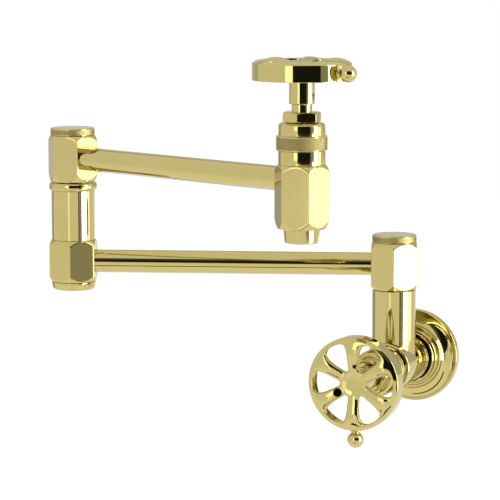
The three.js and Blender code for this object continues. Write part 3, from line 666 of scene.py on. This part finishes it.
shoulder_cap = swivel_cap("shoulder_lid", shoulder_above)
lid_fit = polished_brass, "polished_brass", knurl_shade_brass
fit(shoulder_cap, shoulder_axis, "lower_arm", "shoulder_cap", *lid_fit)
elbow_cap = swivel_cap("elbow_lid", head_above)
fit(elbow_cap, elbow_axis, "upper_arm", "elbow_top_cap", *lid_fit)
foot_cap_top = -foot_below - 0.2
foot_cap_low = foot_cap_top - 5.5
foot_rings = [
    (12, foot_cap_top), (cap_radius, foot_cap_top), (15.3, -15.8), (14.95, -17.6),
    *rounded((14.95, -17.6), (12.9, foot_cap_low), 8), (10, foot_cap_low),
]
foot_cap = turned("elbow_foot_lid", foot_rings, steps=128)
soften(foot_cap, 0.12, 2)
fit(foot_cap, lower_elbow_axis, "lower_arm", "elbow_bottom_cap", polished_brass, "polished_brass")


# ---------------------------------------------------------------- arm tubes
# Two drawn brass tubes of one length, cut square and brazed into the hexagonal bodies.
tube_radius, tube_bore = 8, 6.8
arm_length = (lower_elbow - shoulder).length / mm
tube_start = hex_across / 2 - 3.2


def arm_tube(name):
    end = arm_length - tube_start
    rings = [
        (tube_bore, tube_start), (tube_radius, tube_start), (tube_radius, end), (tube_bore, end),
        (tube_bore, tube_start),
    ]
    made = turned(name, rings, steps=96, closed=True)
    soften(made, 0.2, 2)
    made.matrix_world = Matrix.Rotation(math.radians(90), 4, "Y")
    return made


fit(arm_tube("lower_arm_tube"), shoulder_axis, "lower_arm", "lower_tube", polished_brass, "polished_brass")
fit(arm_tube("upper_arm_tube"), elbow_axis, "upper_arm", "upper_tube", polished_brass, "polished_brass")


# ---------------------------------------------------------------- elbow column and bead
# The upright tube between the two arms, with a half-round bead at its head that the upper
# hexagonal body turns on.
bead_radius = 16.7
bead_top = (elbow.z - shoulder.z) / mm - head_below - 0.4
bead_foot = bead_top - 5.7
column_foot = foot_above + 0.1
column_rings = [
    (column_bore, column_foot), (column_radius, column_foot), (column_radius, bead_foot),
    (column_bore, bead_foot), (column_bore, column_foot),
]
column = turned("elbow_riser", column_rings, steps=128, closed=True)
soften(column, 0.12, 2)
fit(column, lower_elbow_axis, "lower_arm", "elbow_column", polished_brass, "polished_brass")
bead_low = bead_foot + 0.1
bead_neck = bead_radius - 1.6
bead_rings = [
    (column_bore, bead_low), (bead_neck, bead_low),
    *rounded((bead_neck, bead_low), (bead_radius, bead_foot + 2.2), 7, hollow=True),
    *rounded((bead_radius, bead_top - 2.2), (bead_neck, bead_top), 7),
    (column_bore, bead_top), (column_bore, bead_low),
]
bead = turned("elbow_bead_ring", bead_rings, steps=128, closed=True)
true_faces(bead)
fit(bead, lower_elbow_axis, "lower_arm", "elbow_bead", polished_brass, "polished_brass")


# ---------------------------------------------------------------- spout body
# A longer piece of the same hexagonal bar, turned down to a round sleeve above the arm, where
# the spout's own valve screws in.
spout_below, spout_above = 30.75, 10.45
sleeve_top = (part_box("spout_body")[1].z - spout.z) / mm
sleeve_rings = [
    (column_radius, spout_above), (column_radius, spout_above + broken_edge),
    (column_radius, sleeve_top - broken_edge), (column_radius - broken_edge, sleeve_top),
]
spout_hex = hexagonal(
    "spout_bar", hex_across, -spout_below, spout_above, hex_face, (long_cone, short_cone), 0.6,
    above=sleeve_rings,
)
fit(spout_hex, spout_axis, "upper_arm", "spout_body", polished_brass, "polished_brass")


# ---------------------------------------------------------------- nozzle and its insert
# The outlet screws into the spout body and narrows to a rounded mouth. A moulded insert inside
# splits the water into a ring of small jets.
nozzle_top = -spout_below - 0.2
nozzle_low = nozzle_top - 9
nozzle_bore = 8.6
nozzle_rings = [
    (nozzle_bore, nozzle_low + 0.6), (8.9, nozzle_low), (10.0, nozzle_low),
    *rounded((10.0, nozzle_low), (10.9, nozzle_low + 1.0), 6, hollow=True),
    (11.7, nozzle_top), (nozzle_bore, nozzle_top), (nozzle_bore, nozzle_low + 0.6),
]
outlet = turned("outlet_nozzle", nozzle_rings, steps=112, closed=True)
soften(outlet, 0.15, 2, angle=35)
fit(outlet, spout_axis, "upper_arm", "nozzle", polished_brass, "polished_brass")

jet_hole = 1.5
jet_circle = 5
jet_count = 6
insert_low = nozzle_low + 0.8
insert_top = insert_low + 6.5
insert_radius = 8.4
insert_rings = [(insert_radius, insert_low), (insert_radius, insert_top), (insert_radius - 1.4, insert_top)]
insert = turned("jet_insert", insert_rings, steps=72)
for i in range(jet_count + 1):
    angle = 2 * math.pi * i / jet_count
    reach = jet_circle * mm if i < jet_count else 0
    where = (reach * math.cos(angle), reach * math.sin(angle), (insert_low + 3.2) * mm)
    bpy.ops.object.select_all(action="DESELECT")
    bpy.ops.mesh.primitive_cylinder_add(vertices=24, radius=jet_hole * mm, depth=10 * mm, location=where)
    combine(insert, bpy.context.object, "DIFFERENCE")
soften(insert, 0.25, 2, angle=40)
fit(insert, spout_axis, "upper_arm", "aerator_insert", white_nylon, "nylon")


# ---------------------------------------------------------------- valve tops
# Over either valve: a diamond-knurled ring, a round-shouldered bonnet, the gland nut and the
# cartridge's neck with the stem inside it. The two valves are alike.
ring_radius = 16.4
ring_height = 9.75
bonnet_radius, bonnet_round = 15, 2.4
gland_foot = ring_height + 8.3
gland_top = gland_foot + 6.65
neck_radius = 6.5
neck_top = gland_top + 4.7
gland_across, gland_face = 22, 11
stack_bore, neck_bore = 9.5, 4.2
gland_turn = Matrix.Rotation(math.radians(30), 4, "Z")
diamond_count = 60
diamond_depth = 0.32
diamond_pitch = 2 * math.pi * ring_radius / diamond_count


def diamond_tooth(angle, height):
    around = angle * diamond_count / (2 * math.pi)
    along = height / diamond_pitch
    left = (around + along) % 1
    right = (around - along) % 1
    return diamond_depth * max(0, max(abs(2 * left - 1), abs(2 * right - 1)) * 2 - 1)


def knurled_ring(name):
    low, high = 0.2, ring_height - 0.2
    rows = 48
    band_low, band_high = low + 0.9, high - 0.9
    band = [(ring_radius - 0.05, band_low + (band_high - band_low) * i / rows) for i in range(rows + 1)]
    rings = [
        (stack_bore, low), (ring_radius - broken_edge, low), (ring_radius, low + broken_edge),
        (ring_radius, band_low - 0.02), *band, (ring_radius, band_high + 0.02),
        (ring_radius, high - broken_edge), (ring_radius - broken_edge, high), (stack_bore, high),
        (stack_bore, low),
    ]
    made = turned(name, rings, steps=diamond_count * 8, closed=True)
    knurl(made, band_low - 0.01, band_high + 0.01, diamond_tooth, ring_radius - 0.2)
    true_faces(made)
    return made


def bonnet_sleeve(name):
    low, high = ring_height, gland_foot - 0.2
    rings = [
        (stack_bore, low), (bonnet_radius, low), (bonnet_radius, high - bonnet_round),
        *rounded((bonnet_radius, high - bonnet_round), (bonnet_radius - bonnet_round, high), 8),
        (stack_bore, high), (stack_bore, low),
    ]
    made = turned(name, rings, steps=128, closed=True)
    soften(made, 0.15, 2)
    return made


def neck(name):
    rings = [
        (neck_bore, gland_foot), (neck_radius, gland_foot), (neck_radius, neck_top), (neck_bore, neck_top),
        (neck_bore, gland_foot),
    ]
    made = turned(name, rings, steps=72, closed=True)
    soften(made, 0.25, 3)
    return made


valves = {
    "wall": (wall_axis @ Matrix.Translation((0, 0, valve_foot * mm)), "wall_valve"),
    "spout": (spout_axis @ Matrix.Translation((0, 0, sleeve_top * mm)), "upper_arm"),
}
for valve, (place, body_name) in valves.items():
    grip_ring = knurled_ring(f"{valve}_grip_ring")
    fit(grip_ring, place, body_name, f"{valve}_knurled_ring", polished_brass, "polished_brass", knurl_shade_brass)
    bonnet = bonnet_sleeve(f"{valve}_sleeve")
    fit(bonnet, place, body_name, f"{valve}_bonnet", polished_brass, "polished_brass")
    gland = hexagonal(
        f"{valve}_packing_nut", gland_across, gland_foot, gland_top, gland_face, (0.5, 1.25), 0.35,
    )
    fit(gland, place @ gland_turn, body_name, f"{valve}_gland_nut", polished_brass, "polished_brass")
    fit(neck(f"{valve}_neck"), place, body_name, f"{valve}_cartridge", polished_brass, "polished_brass")


# ---------------------------------------------------------------- hand wheels
# Cast brass wheels with six spokes, a domed face that dips round the boss, and a rim that is
# hollow behind. They are locked to the stems with a set screw in the hub and carry a ball on the rim.
hub_foot = neck_top + 0.3
rim_foot = 15.1
rim_top = rim_foot + 10.85
stem_hole, stem_hole_depth = 4.1, 14
set_screw_rise, set_screw_reach, set_screw_hole = 5.5, 6.5, 2.2
set_screw_turn = math.radians(20)
lanes = 36
lane_turn = math.radians(360 / lanes)
lanes_per_spoke = 6
# radius of each ring of the cage and its height over the rim's top edge
wheel_face = [
    (4.1, 0.0), (6.2, 0.25), (8.15, 0.65), (9.7, 1.0), (12.5, 1.6), (16, 2.4), (20, 3.15), (24.3, 3.2),
    (28.3, 2.2), (29.7, 1.45), (31.8, 0.0),
]
hub_ring, tip_ring, outer_ring, rim_ring = 2, 3, 8, 9
# an opening's edge, from its middle: distances at the tip, degrees at the flanks and the outer side
tip_points = [(9.4, 0.0), (9.8, 1.2), (11.2, 2.05)]
flank_turns = [0, 0, 0, 0, 10.9, 15.0, 17.0, 17.2]
outer_points = [(28.4, 0), (28.3, 8), (27.3, 14.5)]
edge_drop = 0.6
outer_edge_drop = 0.15
plate_thickness = 4.7
edge_crease_angle = math.radians(35)
# a subdivided ring shrinks a little inside its cage
draw_out = 1 / (2 / 3 + math.cos(lane_turn) / 3)


def opening_edge(ring, step):
    """Where an opening's edge meets a ring of the cage: distance out and across, from its middle."""
    side = -1 if step < 0 else 1
    if ring == tip_ring:
        out, across = tip_points[abs(step)]
        return out, side * across
    radius, angle = wheel_face[ring][0], flank_turns[ring] if ring < outer_ring else 0
    if ring == outer_ring:
        radius, angle = outer_points[abs(step)]
    return radius * math.cos(math.radians(angle)), side * radius * math.sin(math.radians(angle))


def pick_faces(made, wanted):
    """Selects the faces that the test wants, in edit mode."""
    bpy.ops.mesh.select_mode(type="FACE")
    bpy.ops.mesh.select_all(action="DESELECT")
    shape = bmesh.from_edit_mesh(made.data)
    for face in shape.faces:
        if wanted(face):
            face.select_set(True)
    bmesh.update_edit_mesh(made.data)


def reach(point):
    return math.hypot(point.x, point.y) / mm


def in_opening(face):
    middle = face.calc_center_median()
    lane = math.atan2(middle.y, middle.x) / lane_turn
    step = abs(lane % lanes_per_spoke - lanes_per_spoke / 2)
    return wheel_face[tip_ring][0] < reach(middle) < wheel_face[outer_ring][0] and step < 2


def shape_face(made):
    """Lifts the flat web of rings into the domed face and draws the openings' edges to their line."""
    shape = bmesh.from_edit_mesh(made.data)
    for vertex in shape.verts:
        radius = reach(vertex.co)
        ring = min(range(len(wheel_face)), key=lambda k: abs(wheel_face[k][0] - radius))
        rise = wheel_face[ring][1]
        if radius > wheel_face[0][0] / 2:
            lane = round(math.atan2(vertex.co.y, vertex.co.x) / lane_turn) % lanes
            step = lane % lanes_per_spoke - lanes_per_spoke // 2
            if tip_ring <= ring <= outer_ring and abs(step) <= 2:
                out, across = opening_edge(ring, step)
                middle = (lane // lanes_per_spoke + 0.5) * lanes_per_spoke * lane_turn
                vertex.co.x = (out * math.cos(middle) - across * math.sin(middle)) * mm
                vertex.co.y = (out * math.sin(middle) + across * math.cos(middle)) * mm
                rise -= edge_drop if ring < outer_ring else outer_edge_drop
            vertex.co.x *= draw_out
            vertex.co.y *= draw_out
        vertex.co.z = (rim_top + rise) * mm
    bmesh.update_edit_mesh(made.data)


def push_down(made, wanted, heights):
    """Extrudes the chosen faces down, flat, to one height after another."""
    pick_faces(made, wanted)
    for height in heights:
        bpy.ops.mesh.extrude_region_move(TRANSFORM_OT_translate={"value": (0, 0, -0.1 * mm)})
        bpy.ops.transform.resize(value=(1, 1, 0), center_override=(0, 0, height * mm))


def roll_edges(made):
    """Holds the rims crisp and rolls the openings' edges softly, then subdivides."""
    shape = bmesh.new()
    shape.from_mesh(made.data)
    crease = shape.edges.layers.float.new("crease_edge")
    for edge in shape.edges:
        if edge.calc_face_angle() > edge_crease_angle:
            height = (edge.verts[0].co.z + edge.verts[1].co.z) / 2 / mm
            radius = (reach(edge.verts[0].co) + reach(edge.verts[1].co)) / 2
            on_rim = radius > wheel_face[-1][0] - 0.1
            foot = height < rim_foot + 0.1
            edge[crease] = 0.85 if foot else 0.7 if on_rim else 0.15
    shape.to_mesh(made.data)
    shape.free()
    bpy.ops.object.select_all(action="DESELECT")
    made.select_set(True)
    bpy.context.view_layer.objects.active = made
    rounding = made.modifiers.new("rounding", "SUBSURF")
    rounding.levels = rounding.render_levels = 3
    bpy.ops.object.modifier_apply(modifier=rounding.name)
    bpy.ops.object.shade_smooth()


def copied(made, name):
    """A second piece like the first, with a mesh of its own."""
    twin = made.copy()
    twin.data = made.data.copy()
    twin.name = name
    scene.collection.objects.link(twin)
    return twin


def hand_wheel(name):
    bpy.ops.object.select_all(action="DESELECT")
    bpy.ops.mesh.primitive_circle_add(vertices=lanes, radius=wheel_face[0][0] * mm, fill_type="TRIFAN")
    made = bpy.context.object
    made.name = name
    bpy.ops.object.mode_set(mode="EDIT")
    bpy.ops.mesh.select_mode(type="EDGE")
    ring_radii = [radius for radius, rise in wheel_face]
    for last, radius in zip(ring_radii, ring_radii[1:]):
        bpy.ops.mesh.select_all(action="DESELECT")
        bpy.ops.mesh.select_non_manifold(extend=False)
        bpy.ops.mesh.extrude_edges_move()
        bpy.ops.transform.resize(value=(radius / last, radius / last, 1), center_override=(0, 0, 0))
    pick_faces(made, in_opening)
    bpy.ops.mesh.delete(type="FACE")
    shape_face(made)
    bpy.ops.mesh.select_all(action="SELECT")
    bpy.ops.mesh.extrude_region_move(TRANSFORM_OT_translate={"value": (0, 0, -plate_thickness * mm)})
    bpy.ops.mesh.select_all(action="SELECT")
    bpy.ops.mesh.normals_make_consistent(inside=False)
    rim_inside = wheel_face[rim_ring][0]
    hub_side = wheel_face[hub_ring][0]
    under_plate = rim_top - plate_thickness - 1
    push_down(
        made, lambda face: face.normal.z < -0.3 and reach(face.calc_center_median()) > rim_inside,
        (under_plate, rim_foot + 1.2, rim_foot),
    )
    push_down(
        made, lambda face: face.normal.z < -0.3 and reach(face.calc_center_median()) < hub_side,
        (under_plate, 1.2, 0),
    )
    push_down(
        made, lambda face: face.normal.z < -0.9 and reach(face.calc_center_median()) < stem_hole,
        (0.8, stem_hole_depth),
    )
    bpy.ops.mesh.select_all(action="SELECT")
    bpy.ops.mesh.normals_make_consistent(inside=False)
    bpy.ops.object.mode_set(mode="OBJECT")
    roll_edges(made)
    across = Vector((math.cos(set_screw_turn), math.sin(set_screw_turn), 0)) * set_screw_reach * mm
    bpy.ops.object.select_all(action="DESELECT")
    bpy.ops.mesh.primitive_cylinder_add(
        vertices=48, radius=set_screw_hole * mm, depth=6 * mm,
        location=across + Vector((0, 0, set_screw_rise * mm)), rotation=(0, math.radians(90), set_screw_turn),
    )
    return combine(made, bpy.context.object, "DIFFERENCE")


# hand wheels as they stand at rest: the ball is on each one's own X axis
hub_lift = Matrix.Translation((0, 0, hub_foot * mm))
wheel_turns = {"wall": -90, "spout": 180 + 2.5}
wheel_places = {
    valve: place @ hub_lift @ Matrix.Rotation(math.radians(wheel_turns[valve]), 4, "Z")
    for valve, (place, body_name) in valves.items()
}


def spotted(finish, name, centre, radius):
    """The same finish with a round black spot painted into its colour at a point of the piece."""
    made = finish.copy()
    made.name = name
    tree = made.node_tree
    colour = tree.nodes["Principled BSDF"].inputs["Base Color"]
    plain_colour = colour.links[0].from_socket
    where = tree.nodes.new("ShaderNodeTexCoord")
    apart = tree.nodes.new("ShaderNodeVectorMath")
    apart.operation = "DISTANCE"
    apart.inputs[1].default_value = centre
    outside = tree.nodes.new("ShaderNodeMapRange")
    outside.inputs["From Min"].default_value = (radius - 0.1) * mm
    outside.inputs["From Max"].default_value = (radius + 0.1) * mm
    # The spot's black is painted into the base colour; metallic and gloss stay as they are.
    spot_colour = tree.nodes.new("ShaderNodeMix")
    spot_colour.data_type = "RGBA"
    spot_colour.inputs["A"].default_value = (0.002, 0.002, 0.002, 1)
    tree.links.new(where.outputs["Object"], apart.inputs[0])
    tree.links.new(apart.outputs["Value"], outside.inputs["Value"])
    tree.links.new(outside.outputs["Result"], spot_colour.inputs["Factor"])
    tree.links.new(plain_colour, spot_colour.inputs["B"])
    tree.links.new(spot_colour.outputs["Result"], colour)
    return made


# A round black spot is painted into the wall wheel's colour at the narrow end of one spoke, two spokes from its
# ball.
spot_reach, spot_height, spot_radius = 12.2, 27.3, 3.0
spot_turn = math.radians(-60)
spot = Vector((spot_reach * math.cos(spot_turn), spot_reach * math.sin(spot_turn), spot_height)) * mm
black_spot_brass = spotted(polished_brass, "black_spot_brass", wheel_places["wall"] @ spot, spot_radius)
wheel = hand_wheel("wall_hand_wheel")
second_wheel = copied(wheel, "spout_hand_wheel")
fit(wheel, wheel_places["wall"], "wall_handle", "wall_wheel", black_spot_brass, "polished_brass")
fit(second_wheel, wheel_places["spout"], "spout_handle", "spout_wheel", polished_brass, "polished_brass")


# ---------------------------------------------------------------- rim balls
# A turned ball on a short neck and bead, screwed into the rim at one spoke. It shows how far the
# valve is open.
ball_radius = 5.5
ball_reach = 38.8
ball_pole = 0.02
ball_neck_rings = [(3.3, 0), (3.75, 0.35), (3.75, 0.9), (3.3, 1.35), (2.45, 1.6)]


def rim_ball(name):
    start = wheel_face[-1][0]
    rings = [(radius, start + rise) for radius, rise in ball_neck_rings]
    for degrees in range(-60, 91, 6):
        angle = math.radians(degrees)
        radius = max(ball_radius * math.cos(angle), ball_pole)
        rings.append((radius, ball_reach + ball_radius * math.sin(angle)))
    made = turned(name, rings, steps=64)
    true_faces(made)
    half_way_up = Matrix.Translation((0, 0, (rim_foot + rim_top) / 2 * mm))
    made.matrix_world = half_way_up @ Matrix.Rotation(math.radians(90), 4, "Y")
    return made


for valve, place in wheel_places.items():
    ball = rim_ball(f"{valve}_rim_ball")
    fit(ball, place, f"{valve}_handle", f"{valve}_finial", polished_brass, "polished_brass")
